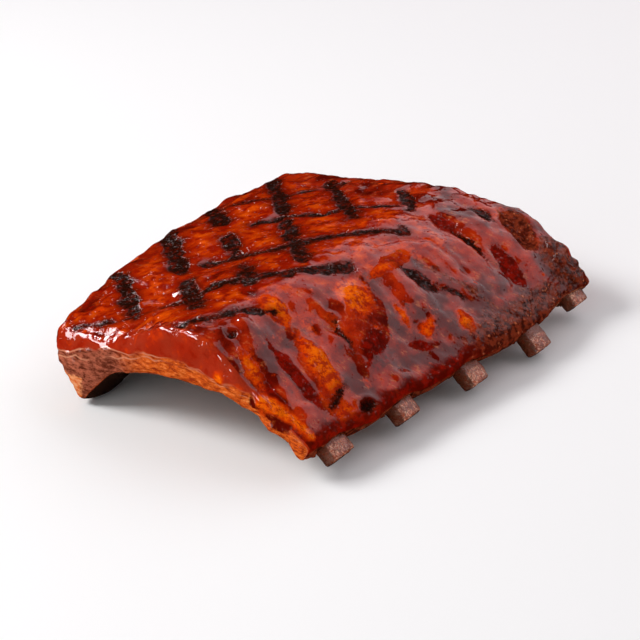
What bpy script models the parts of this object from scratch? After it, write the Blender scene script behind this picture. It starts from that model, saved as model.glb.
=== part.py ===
"""Rack of ribs: an arched slab of grilled meat with five rib bones running through it.

Metres. +X runs along the rack from its near cut end, +Y from the bone tips to the loin side,
+Z up. The origin is the middle of the rack's box, on the surface that the rack lies on.
"""

import math

import bmesh
import bpy
import numpy as np
from mathutils import Matrix
from mathutils import Vector
from mathutils import noise

# The rib bones: places and widths, then their run through the meat as shares of its thickness
# at the tips, in the middle and at the loin side, and how far and how steeply they stand out
RIB_PLACES = (-0.0645, -0.0325, 0.0015, 0.0362, 0.0716)
RIB_WIDTHS = (0.0120, 0.0112, 0.0110, 0.0110, 0.0106)
RIB_THICKNESS = 0.0076
RIB_SLANT = math.tan(math.radians(8.0))
RIB_SIDES = 14
RIB_STATIONS = 18
RIB_SQUARENESS = 2.8
RIB_CLEARANCE = 0.0003
RIB_DEPTHS = (0.34, 0.13, 0.30)
RIB_TIP_RISE = 0.22
RIB_LOIN_RISE = 0.72
TUNNEL_OVERRUN = 0.0040
STUB_LENGTHS = (0.0064, 0.0068, 0.0082, 0.0088, 0.0054)
STUB_DROOPS = (44.0, 45.0, 47.0, 48.0, 45.0)
LOIN_STUB = 0.0022

# The slab's two cut ends, and the line across it where the slant of the bones is nought
NEAR_END = -0.0770
FAR_END = 0.0800
TIP_LINE = -0.0430

# Cross-sections of the slab from the bone tips to the loin side. Each row has a point of the
# top and the point of the underside below it, as across, height, across, height.
SECTION_PLACES = (0.0, 0.6, 1.0)
NEAR_SECTION = (
    (-0.0455, 0.0142, -0.0402, 0.0078),
    (-0.0375, 0.0196, -0.0335, 0.0130),
    (-0.0280, 0.0260, -0.0250, 0.0173),
    (-0.0175, 0.0326, -0.0150, 0.0203),
    (-0.0065, 0.0398, -0.0040, 0.0218),
    (0.0060, 0.0404, 0.0070, 0.0207),
    (0.0185, 0.0361, 0.0175, 0.0197),
    (0.0310, 0.0294, 0.0275, 0.0174),
    (0.0465, 0.0258, 0.0383, 0.0112),
    (0.0645, 0.0222, 0.0485, -0.0014),
)
MIDDLE_SECTION = (
    (-0.0450, 0.0146, -0.0396, 0.0086),
    (-0.0365, 0.0202, -0.0325, 0.0138),
    (-0.0260, 0.0272, -0.0230, 0.0182),
    (-0.0135, 0.0347, -0.0110, 0.0212),
    (0.0010, 0.0406, 0.0030, 0.0224),
    (0.0170, 0.0408, 0.0175, 0.0220),
    (0.0340, 0.0376, 0.0330, 0.0212),
    (0.0520, 0.0332, 0.0480, 0.0190),
    (0.0720, 0.0307, 0.0625, 0.0125),
    (0.0926, 0.0269, 0.0760, -0.0014),
)
FAR_SECTION = (
    (-0.0450, 0.0130, -0.0400, 0.0074),
    (-0.0380, 0.0190, -0.0335, 0.0126),
    (-0.0275, 0.0266, -0.0240, 0.0174),
    (-0.0140, 0.0332, -0.0110, 0.0202),
    (0.0030, 0.0350, 0.0050, 0.0207),
    (0.0220, 0.0362, 0.0230, 0.0207),
    (0.0420, 0.0342, 0.0400, 0.0200),
    (0.0610, 0.0312, 0.0560, 0.0182),
    (0.0790, 0.0282, 0.0710, 0.0122),
    (0.0996, 0.0252, 0.0845, -0.0014),
)

# The slab's cage: its cells along, across and through, and the rounding of its edges
CELLS_LONG = 44
CELLS_WIDE = 32
CELLS_HIGH = 4
NOMINAL_SIZE = np.array((0.157, 0.125, 0.015))
EDGE_ROUNDING = 0.0042
SHARP_ANGLE = math.radians(50.0)

# Relief: ridges of meat under and over each bone, the sag of the tip edge between two bones,
# and the shares through and across the slab where they fade out
UNDER_RIDGE = 0.0034
OVER_RIDGE = 0.0008
RIDGE_REACH = 0.0078
EDGE_SAG = 0.0018
UNDER_FADE = 0.45
OVER_START = 0.55
EDGE_FADE = 0.06

# How far the tip edge is set back at the far end's corner, between which shares of the slab's
# length it steps back, and over what share of its width that fades
CORNER_SETBACK = 0.0075
CORNER_STEP = (0.70, 0.92)
CORNER_FADE = 0.32

# How far the near end's foot stands out, and how far the loin side is rounded outwards
FOOT_FLARE = 0.0042
FOOT_LENGTH = 0.12
FOOT_START = 0.85
LOIN_BULGE = 0.0026
LOIN_BULGE_START = 0.955
LOIN_BULGE_STEP = (0.02, 0.20)

# How far the rack leans towards the bone tips, so that a bone and the foot both touch the ground
REST_TILT = math.radians(1.4)

# Hills and hollows of the top: place along and across, reach along and across, height
HILLS = {
    "long_swell": (-0.0305, -0.0205, 0.0075, 0.0125, 0.0016),
    "small_swell": (-0.0515, -0.0270, 0.0045, 0.0085, 0.0011),
    "near_groove": (-0.0735, -0.0250, 0.0030, 0.0180, -0.0007),
    "dome": (0.0070, -0.0230, 0.0170, 0.0180, 0.0022),
    "dome_dimple": (0.0090, -0.0190, 0.0055, 0.0090, -0.0026),
    "valley_behind_dome": (0.0395, -0.0120, 0.0080, 0.0200, -0.0013),
    "far_swell": (0.0520, -0.0060, 0.0060, 0.0130, 0.0010),
    "torn_pit": (0.0625, -0.0175, 0.0042, 0.0085, -0.0028),
    "far_lump": (0.0690, -0.0320, 0.0055, 0.0050, 0.0006),
    "far_notch": (0.0745, -0.0215, 0.0050, 0.0045, -0.0022),
    "corner_lump": (0.0570, -0.0330, 0.0060, 0.0050, 0.0010),
    "front_lump": (0.0130, -0.0410, 0.0060, 0.0040, 0.0012),
    "front_hollow": (-0.0150, -0.0370, 0.0070, 0.0060, -0.0010),
    "loin_hollow": (-0.0300, 0.0420, 0.0200, 0.0120, -0.0010),
    "loin_swell": (0.0180, 0.0640, 0.0200, 0.0140, 0.0012),
}

# Uneven surface: how high its waves are on the top and at the torn far corner, and their length
WAVE_HEIGHT = 0.0006
TORN_HEIGHT = 0.0014
TORN_STEP = (0.80, 0.95)
TORN_FADE = (0.20, 0.45)
WAVE_LENGTH = 0.0110
WAVE_OCTAVES = 3


def smooth_step(low, high, value):
    """Nought below low, one above high, with an S-curve between."""
    share = np.clip((value - low) / (high - low), 0.0, 1.0)
    return share * share * (3.0 - 2.0 * share)


def through_points(rows, share):
    """The rows read as a smooth curve, at a share of its length from nought to one."""
    table = np.asarray(rows)
    last = len(table) - 1
    place = np.clip(share, 0.0, 1.0) * last
    cell = np.minimum(place.astype(int), last - 1)
    step = (place - cell)[..., None]
    before = table[np.maximum(cell - 1, 0)]
    start = table[cell]
    end = table[cell + 1]
    after = table[np.minimum(cell + 2, last)]
    curve = 2.0 * start + (end - before) * step
    curve += (2.0 * before - 5.0 * start + 4.0 * end - after) * step**2
    curve += (3.0 * start - before - 3.0 * end + after) * step**3
    return 0.5 * curve


def section(along, across):
    """Top and underside at a share of the slab's length and width, as across and height pairs."""
    low, middle, high = SECTION_PLACES
    near = through_points(NEAR_SECTION, across)
    centre = through_points(MIDDLE_SECTION, across)
    far = through_points(FAR_SECTION, across)
    place = along[..., None]
    near_part = (place - middle) * (place - high) / ((low - middle) * (low - high))
    centre_part = (place - low) * (place - high) / ((middle - low) * (middle - high))
    far_part = (place - low) * (place - middle) / ((high - low) * (high - middle))
    return near * near_part + centre * centre_part + far * far_part


def slab_points(shares):
    """Points of the plain slab from their shares along, across and through it."""
    along, across, through = shares.T
    rows = section(along, across)
    crosswise = rows[:, 2] + (rows[:, 0] - rows[:, 2]) * through
    height = rows[:, 3] + (rows[:, 1] - rows[:, 3]) * through
    corner = smooth_step(*CORNER_STEP, along) * (1.0 - smooth_step(0.0, CORNER_FADE, across))
    crosswise = crosswise + CORNER_SETBACK * corner
    rack = NEAR_END + (FAR_END - NEAR_END) * along
    foot = (1.0 - smooth_step(0.0, FOOT_LENGTH, along)) * smooth_step(FOOT_START, 1.0, across)
    rack = rack - FOOT_FLARE * foot * (1.0 - through)
    rack = rack - RIB_SLANT * (crosswise - TIP_LINE)
    return np.column_stack((rack, crosswise, height))


def rounded_shares(shares):
    """Shares on the skin of a box, drawn in so that the box's edges are round."""
    place = shares * NOMINAL_SIZE
    inner = np.clip(place, EDGE_ROUNDING, NOMINAL_SIZE - EDGE_ROUNDING)
    outward = place - inner
    length = np.linalg.norm(outward, axis=1, keepdims=True)
    drawn = inner + outward / np.maximum(length, 1e-9) * EDGE_ROUNDING
    return drawn / NOMINAL_SIZE


def rib_nearness(rack_place):
    """One over a bone and nearly nought half way between two bones."""
    nearness = np.zeros_like(rack_place)
    for rib_place in RIB_PLACES:
        nearness += np.exp(-(((rack_place - rib_place) / RIDGE_REACH) ** 2))
    return nearness


def hill_relief(points):
    """The height of all hills and hollows over each point of the top."""
    relief = np.zeros(len(points))
    for rack, cross, rack_reach, cross_reach, height in HILLS.values():
        distance = ((points[:, 0] - rack) / rack_reach) ** 2
        distance += ((points[:, 1] - cross) / cross_reach) ** 2
        relief += height * np.exp(-distance)
    return relief


def wave_relief(points, along, across):
    """The uneven surface of roasted meat, coarser at the torn corner of the far end."""
    waves = []
    for point in points:
        waves.append(noise.fractal(Vector(point) / WAVE_LENGTH, 1.0, 2.0, WAVE_OCTAVES))
    torn = smooth_step(*TORN_STEP, along) * (1.0 - smooth_step(*TORN_FADE, across))
    return np.array(waves) * (WAVE_HEIGHT + (TORN_HEIGHT - WAVE_HEIGHT) * torn)


def slab_relief(shares, points):
    """How far each point of the slab stands out from the plain form."""
    along, across, through = shares.T
    rack_place = NEAR_END + (FAR_END - NEAR_END) * along
    nearness = rib_nearness(rack_place)
    under = 1.0 - smooth_step(0.0, UNDER_FADE, through)
    over = smooth_step(OVER_START, 1.0, through)
    relief = UNDER_RIDGE * nearness * under
    relief += OVER_RIDGE * nearness * over
    tip_edge = 1.0 - smooth_step(0.0, EDGE_FADE, across)
    relief += EDGE_SAG * (1.0 - nearness) * tip_edge
    loin_side = smooth_step(LOIN_BULGE_START, 1.0, across) * smooth_step(*LOIN_BULGE_STEP, along)
    relief += LOIN_BULGE * loin_side * np.sin(math.pi * through)
    relief += hill_relief(points) * over
    relief += wave_relief(points, along, across)
    return relief


def new_material(name, colour, roughness):
    """A Principled material of one plain colour."""
    material = bpy.data.materials.new(name)
    material.use_nodes = True
    shader = material.node_tree.nodes["Principled BSDF"]
    shader.inputs["Base Color"].default_value = (*colour, 1.0)
    shader.inputs["Roughness"].default_value = roughness
    shader.inputs["Metallic"].default_value = 0.0
    material.diffuse_color = (*colour, 1.0)
    return material


def new_object(name, mesh_source, material):
    """An object made of a finished bmesh, shaded smooth except at sharp edges."""
    mesh = bpy.data.meshes.new(name)
    mesh_source.to_mesh(mesh)
    mesh_source.free()
    mesh.materials.append(material)
    mesh.shade_smooth()
    mesh.set_sharp_from_angle(angle=SHARP_ANGLE)
    made = bpy.data.objects.new(name, mesh)
    bpy.context.scene.collection.objects.link(made)
    return made


def cut_into_cells(cage, axis, count):
    """Cut a unit box across one axis into equal cells."""
    normal = Vector((0.0, 0.0, 0.0))
    normal[axis] = 1.0
    for step in range(1, count):
        geometry = cage.verts[:] + cage.edges[:] + cage.faces[:]
        bmesh.ops.bisect_plane(cage, geom=geometry, plane_co=normal * (step / count), plane_no=normal)


def make_slab(material):
    """The meat: a box cut into cells, bent into the arch, with its relief raised."""
    cage = bmesh.new()
    bmesh.ops.create_cube(cage, size=1.0)
    bmesh.ops.translate(cage, verts=cage.verts, vec=(0.5, 0.5, 0.5))
    for axis, count in enumerate((CELLS_LONG, CELLS_WIDE, CELLS_HIGH)):
        cut_into_cells(cage, axis, count)
    shares = rounded_shares(np.array([vertex.co for vertex in cage.verts]))
    points = slab_points(shares)
    for vertex, point in zip(cage.verts, points):
        vertex.co = point
    cage.normal_update()
    for vertex, height in zip(cage.verts, slab_relief(shares, points)):
        vertex.co += vertex.normal * height
    return new_object("meat", cage, material)


def rib_path(index, extra):
    """Centre points of a bone from its tip to its loin end, with extra length at both ends."""
    along = (RIB_PLACES[index] - NEAR_END) / (FAR_END - NEAR_END)
    across = np.linspace(0.0, 1.0, RIB_STATIONS)
    tip_depth, middle_depth, loin_depth = RIB_DEPTHS
    depth = tip_depth + (middle_depth - tip_depth) * smooth_step(0.0, RIB_TIP_RISE, across)
    depth += (loin_depth - middle_depth) * smooth_step(RIB_LOIN_RISE, 1.0, across)
    centre = slab_points(np.column_stack((np.full(RIB_STATIONS, along), across, depth)))
    run = np.gradient(centre, axis=0)
    run /= np.linalg.norm(run, axis=1, keepdims=True)
    stub = STUB_LENGTHS[index]
    droop = math.radians(STUB_DROOPS[index])
    slope = math.cos(droop)
    tip_run = np.array((RIB_SLANT * slope, -slope, -math.sin(droop)))
    tip = centre[0] + tip_run * (stub + extra)
    halfway = centre[0] + tip_run * stub * 0.5
    heel = centre[-1] + run[-1] * (LOIN_STUB + extra)
    return np.vstack((tip, halfway, centre[1:-1], heel))


def rib_ring(bone, width, grow, centre, run):
    """One flat oval ring of a bone, square to the bone's run."""
    side = np.array((1.0, 0.0, 0.0))
    side -= run * (side @ run)
    side /= np.linalg.norm(side)
    lift = np.cross(side, run)
    ring = bmesh.ops.create_circle(bone, segments=RIB_SIDES, radius=width)["verts"]
    power = 2.0 / RIB_SQUARENESS
    for corner, vertex in enumerate(ring):
        turn = 2.0 * math.pi * corner / RIB_SIDES
        across = math.copysign(abs(math.cos(turn)) ** power, math.cos(turn))
        upward = math.copysign(abs(math.sin(turn)) ** power, math.sin(turn))
        offset = side * across * (width * 0.5 + grow)
        offset += lift * upward * (RIB_THICKNESS * 0.5 + grow)
        vertex.co = centre + offset
    return ring


def ring_edges(ring):
    """The edges that join the corners of one ring."""
    corners = set(ring)
    return {edge for vertex in ring for edge in vertex.link_edges if set(edge.verts) <= corners}


def make_rib(name, index, grow, extra, material):
    """A bone, or with some grow and extra length the tunnel that holds it."""
    path = rib_path(index, extra)
    runs = np.gradient(path, axis=0)
    runs /= np.linalg.norm(runs, axis=1, keepdims=True)
    bone = bmesh.new()
    width = RIB_WIDTHS[index]
    rings = [rib_ring(bone, width, grow, centre, run) for centre, run in zip(path, runs)]
    for first, second in zip(rings, rings[1:]):
        bmesh.ops.bridge_loops(bone, edges=list(ring_edges(first) | ring_edges(second)))
    for ring in (rings[0], rings[-1]):
        bmesh.ops.contextual_create(bone, geom=list(ring_edges(ring)))
    bmesh.ops.recalc_face_normals(bone, faces=bone.faces)
    return new_object(name, bone, material)


def cut_tunnel(meat, cutter):
    """Take a bone's tunnel out of the meat."""
    cutter.hide_render = True
    cutter.display_type = "WIRE"
    cut = meat.modifiers.new(cutter.name, "BOOLEAN")
    cut.operation = "DIFFERENCE"
    cut.solver = "EXACT"
    cut.object = cutter


def stand_on_origin(pieces):
    """Lean all pieces to their rest, with the middle of their box's floor on the origin."""
    lean = Matrix.Rotation(REST_TILT, 4, "X")
    for piece in bpy.data.objects:
        piece.data.transform(lean)
    corners = np.array([vertex.co for piece in pieces for vertex in piece.data.vertices])
    low = corners.min(axis=0)
    high = corners.max(axis=0)
    middle = Vector(((low[0] + high[0]) / 2.0, (low[1] + high[1]) / 2.0, low[2]))
    for piece in bpy.data.objects:
        piece.data.transform(Matrix.Translation(-middle))


def main():
    """Build the rack: the meat, its five bones, and the tunnels that the bones lie in."""
    for old in list(bpy.data.objects):
        bpy.data.objects.remove(old, do_unlink=True)
    meat_finish = new_material("glazed_meat", (0.42, 0.07, 0.02), 0.25)
    bone_finish = new_material("roasted_bone", (0.33, 0.12, 0.06), 0.45)
    meat = make_slab(meat_finish)
    pieces = [meat]
    for index in range(len(RIB_PLACES)):
        number = index + 1
        pieces.append(make_rib(f"bone_{number}", index, 0.0, 0.0, bone_finish))
        cutter = make_rib(f"tunnel_{number}", index, RIB_CLEARANCE, TUNNEL_OVERRUN, bone_finish)
        cut_tunnel(meat, cutter)
    stand_on_origin(pieces)


if __name__ == "__main__":
    main()
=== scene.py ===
"""Rack of ribs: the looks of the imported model, with its studio and camera.

Metres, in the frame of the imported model: +X along the rack from its near cut end, +Y from the
bone tips to the loin side, +Z up. Sizes that follow the surface are in millimetres, and say so.
"""

import logging
import math
from dataclasses import dataclass
from enum import Enum
from itertools import product

import bpy
import numpy as np
from mathutils import Matrix, Vector
from mathutils.bvhtree import BVHTree


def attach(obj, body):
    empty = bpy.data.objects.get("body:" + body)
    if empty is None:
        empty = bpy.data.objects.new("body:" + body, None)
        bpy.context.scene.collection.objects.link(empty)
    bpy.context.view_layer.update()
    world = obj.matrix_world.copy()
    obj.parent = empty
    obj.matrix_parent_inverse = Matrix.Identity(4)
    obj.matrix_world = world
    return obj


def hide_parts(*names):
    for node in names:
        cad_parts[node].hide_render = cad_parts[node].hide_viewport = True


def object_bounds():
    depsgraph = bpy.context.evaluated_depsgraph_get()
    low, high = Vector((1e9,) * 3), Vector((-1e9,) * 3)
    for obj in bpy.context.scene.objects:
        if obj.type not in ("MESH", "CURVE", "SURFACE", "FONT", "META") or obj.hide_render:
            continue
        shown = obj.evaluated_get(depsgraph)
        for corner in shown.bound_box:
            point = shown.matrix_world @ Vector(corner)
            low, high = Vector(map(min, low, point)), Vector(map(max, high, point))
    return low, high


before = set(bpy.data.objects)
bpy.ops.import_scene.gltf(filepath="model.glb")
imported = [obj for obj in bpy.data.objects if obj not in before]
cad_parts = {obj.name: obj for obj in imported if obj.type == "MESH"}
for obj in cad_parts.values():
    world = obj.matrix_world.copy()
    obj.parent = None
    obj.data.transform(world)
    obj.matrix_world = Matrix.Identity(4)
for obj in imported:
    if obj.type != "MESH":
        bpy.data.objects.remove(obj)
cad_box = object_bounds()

LOG = logging.getLogger("rack_of_ribs")
MILLIMETRE = 0.001
FAR_OUT = 20.0  # a depth in millimetres that is outside every shape
Colour = tuple[float, float, float]
Socket = bpy.types.NodeSocket


# Shape helpers


def smooth_step(low: float, high: float, value: np.ndarray) -> np.ndarray:
    """An S-curve from nought to one.

    Args:
        low: the value at and below which the result is nought.
        high: the value at and above which the result is one.
        value: the values to read.

    Returns:
        The curve's height at each value.
    """
    share = np.clip((value - low) / (high - low), 0.0, 1.0)
    return share * share * (3.0 - 2.0 * share)


class Grain:
    """Seeded noise of points in space, the same on every run."""

    DIRECTIONS = np.array(
        [step for step in product((-1, 0, 1), repeat=3) if sum(map(abs, step)) == 2], float
    )
    PRIMES = (73856093, 19349663, 83492791)

    @classmethod
    def _mixed(cls, cell: np.ndarray, seed: int) -> np.ndarray:
        """A whole number for each cell of space.

        Args:
            cell: rows of three whole numbers.
            seed: which of many sets of numbers to give.

        Returns:
            Whole numbers from 0 to 65535.
        """
        number = cell[:, 0] * cls.PRIMES[0] ^ cell[:, 1] * cls.PRIMES[1] ^ cell[:, 2] * cls.PRIMES[2]
        number = (number ^ (seed * 40503)) & 0x7FFFFFFF
        number = (number * 1103515245 + 12345) & 0x7FFFFFFF
        number = ((number >> 9) ^ number) * 69069 & 0x7FFFFFFF
        return (number >> 7) & 0xFFFF

    @classmethod
    def hills(cls, points: np.ndarray, size: float, seed: int) -> np.ndarray:
        """Smooth noise of one hill size.

        Args:
            points: rows of places.
            size: the spacing of the hills, in the points' own unit.
            seed: which pattern.

        Returns:
            Heights from about -1 to 1.
        """
        place = points / size
        cell = np.floor(place).astype(np.int64)
        part = place - cell
        fade = part**3 * (part * (part * 6.0 - 15.0) + 10.0)
        total = np.zeros(len(points))
        for corner in product((0, 1), repeat=3):
            step = np.array(corner)
            direction = cls.DIRECTIONS[cls._mixed(cell + step, seed) % len(cls.DIRECTIONS)]
            weight = np.prod(np.where(step == 1, fade, 1.0 - fade), axis=1)
            total += weight * np.sum(direction * (part - step), axis=1)
        return total

    @classmethod
    def rough(cls, points: np.ndarray, size: float, octaves: int, seed: int) -> np.ndarray:
        """Noise of several hill sizes, each half as large and half as high as the last.

        Args:
            points: rows of places.
            size: the spacing of the largest hills.
            octaves: how many sizes.
            seed: which pattern.

        Returns:
            Heights from about -1 to 1.
        """
        total = np.zeros(len(points))
        for octave in range(octaves):
            total += cls.hills(points, size / 2**octave, seed + octave) / 2**octave
        return total

    @classmethod
    def pebbles(cls, points: np.ndarray, size: float, seed: int) -> np.ndarray:
        """Round pebbles packed side by side.

        Args:
            points: rows of places.
            size: the spacing of the pebbles.
            seed: which pattern.

        Returns:
            The distance to the nearest pebble's middle, as a share of the spacing.
        """
        place = points / size
        cell = np.floor(place).astype(np.int64)
        nearest = np.full(len(points), 9.0)
        for step in product((-1, 0, 1), repeat=3):
            corner = cell + np.array(step)
            middle = corner.astype(float)
            for axis in range(3):
                middle[:, axis] += cls._mixed(corner, seed + 17 * axis) / 65536.0
            nearest = np.minimum(nearest, np.sum((place - middle) ** 2, axis=1))
        return np.sqrt(nearest)


@dataclass(frozen=True)
class Patch:
    """An oval area of the top, seen from above, in millimetres, turned in degrees from +X."""

    x: float
    y: float
    long: float
    wide: float
    turn: float = 0.0

    def local(self, plan: np.ndarray) -> tuple[np.ndarray, np.ndarray]:
        """Places along and across the patch, as shares of its half sizes.

        Args:
            plan: rows of places from above, in millimetres.

        Returns:
            The shares along and across.
        """
        angle = math.radians(self.turn)
        offset = plan - (self.x, self.y)
        along = offset[:, 0] * math.cos(angle) + offset[:, 1] * math.sin(angle)
        across = offset[:, 1] * math.cos(angle) - offset[:, 0] * math.sin(angle)
        return along / self.long, across / self.wide

    def inside(self, plan: np.ndarray) -> np.ndarray:
        """How far inside the patch's edge each place is, in millimetres, less than nought outside."""
        along, across = self.local(plan)
        return (1.0 - np.hypot(along, across)) * min(self.long, self.wide)


@dataclass(frozen=True)
class Stroke:
    """A line over the top with a width, in millimetres, as a grill bar or a fold leaves it."""

    width: float
    points: tuple[tuple[float, float], ...]

    def inside(self, plan: np.ndarray) -> np.ndarray:
        """How far inside the stroke's edge each place is, in millimetres, less than nought outside."""
        nearest = np.full(len(plan), 1e9)
        for start, end in zip(self.points, self.points[1:]):
            first = np.array(start)
            run = np.array(end) - first
            share = np.clip((plan - first) @ run / (run @ run), 0.0, 1.0)
            gap = np.linalg.norm(plan - first - share[:, None] * run, axis=1)
            nearest = np.minimum(nearest, gap)
        return self.width / 2.0 - nearest


def patches(*rows: tuple[float, ...]) -> tuple[Patch, ...]:
    """Patches from rows of their sizes."""
    return tuple(Patch(*row) for row in rows)


def deepest(shapes: tuple, plan: np.ndarray) -> np.ndarray:
    """How far inside any of the shapes each place is.

    Args:
        shapes: patches and strokes.
        plan: rows of places from above, in millimetres.

    Returns:
        Depth in millimetres, less than nought outside all of them, -FAR_OUT at least.
    """
    depth = np.full(len(plan), -FAR_OUT)
    for shape in shapes:
        depth = np.maximum(depth, shape.inside(plan))
    return depth


# Object helpers


def select_only(piece: bpy.types.Object) -> None:
    """Make one object the selected and active one."""
    bpy.ops.object.select_all(action="DESELECT")
    piece.select_set(True)
    bpy.context.view_layer.objects.active = piece


def copy_of_node(node: str, name: str) -> bpy.types.Object:
    """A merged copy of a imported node, to model on.

    Args:
        node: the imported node's name.
        name: the new piece's name.

    Returns:
        The new object, at the origin.
    """
    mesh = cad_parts[node].data.copy()
    mesh.name = name
    mesh.materials.clear()
    piece = bpy.data.objects.new(name, mesh)
    bpy.context.scene.collection.objects.link(piece)
    select_only(piece)
    bpy.ops.object.mode_set(mode="EDIT")
    bpy.ops.mesh.select_all(action="SELECT")
    bpy.ops.mesh.remove_doubles(threshold=1e-6)
    bpy.ops.mesh.normals_make_consistent(inside=False)
    bpy.ops.object.mode_set(mode="OBJECT")
    return piece


def apply_modifier(piece: bpy.types.Object, kind: str, **settings: object) -> None:
    """Add a modifier, set it and apply it.

    Args:
        piece: the object to change.
        kind: the modifier's type.
        settings: the modifier's own settings.
    """
    select_only(piece)
    modifier = piece.modifiers.new(kind.lower(), kind)
    for key, value in settings.items():
        setattr(modifier, key, value)
    bpy.ops.object.modifier_apply(modifier=modifier.name)


def places_of(piece: bpy.types.Object) -> np.ndarray:
    """The places of an object's vertices, in metres."""
    places = np.empty(len(piece.data.vertices) * 3)
    piece.data.vertices.foreach_get("co", places)
    return places.reshape(-1, 3)


def normals_of(piece: bpy.types.Object) -> np.ndarray:
    """The outward directions of an object's vertices."""
    normals = np.empty(len(piece.data.vertices) * 3)
    piece.data.vertices.foreach_get("normal", normals)
    return normals.reshape(-1, 3)


def edges_of(piece: bpy.types.Object) -> np.ndarray:
    """The vertex numbers at both ends of each of an object's edges."""
    edges = np.empty(len(piece.data.edges) * 2, int)
    piece.data.edges.foreach_get("vertices", edges)
    return edges.reshape(-1, 2)


def move_to(piece: bpy.types.Object, places: np.ndarray) -> None:
    """Give an object's vertices new places, in metres."""
    piece.data.vertices.foreach_set("co", places.ravel())
    piece.data.update()


def averaged(values: np.ndarray, edges: np.ndarray, rounds: int) -> np.ndarray:
    """Values spread over a mesh, each taking the mean of itself and its neighbours.

    Args:
        values: one row for each vertex.
        edges: the mesh's edges.
        rounds: how often to spread.

    Returns:
        The spread values.
    """
    count = np.bincount(edges.ravel(), minlength=len(values)).astype(float)
    wide = values.reshape(len(values), -1).astype(float)
    for _ in range(rounds):
        total = np.empty_like(wide)
        for column in range(wide.shape[1]):
            there = np.bincount(edges[:, 0], wide[edges[:, 1], column], minlength=len(values))
            back = np.bincount(edges[:, 1], wide[edges[:, 0], column], minlength=len(values))
            total[:, column] = there + back
        wide = 0.5 * wide + 0.5 * total / np.maximum(count, 1.0)[:, None]
    return wide.reshape(values.shape)


def write_attribute(piece: bpy.types.Object, name: str, values: np.ndarray) -> None:
    """Store one number for each vertex, for the piece's material to read."""
    attribute = piece.data.attributes.new(name, "FLOAT", "POINT")
    attribute.data.foreach_set("value", values.astype(np.float32))


def dress(piece: bpy.types.Object, material: bpy.types.Material, node: str) -> None:
    """Give a finished piece its material and its place in the frame.

    Args:
        piece: the finished piece.
        material: its material.
        node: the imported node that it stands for.
    """
    piece.data.materials.clear()
    piece.data.materials.append(material)
    piece.data.shade_smooth()
    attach(piece, "root")
    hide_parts(node)
    LOG.info("%s: %d faces", piece.name, len(piece.data.polygons))


# Material helpers


@dataclass(frozen=True)
class Pattern:
    """A pattern on a piece: its spacing in millimetres, its finer layers, and how it is drawn out."""

    size: float
    detail: float = 2.0
    roughness: float = 0.5
    stretch: tuple[float, float, float] = (1.0, 1.0, 1.0)
    turn: float = 0.0


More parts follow.
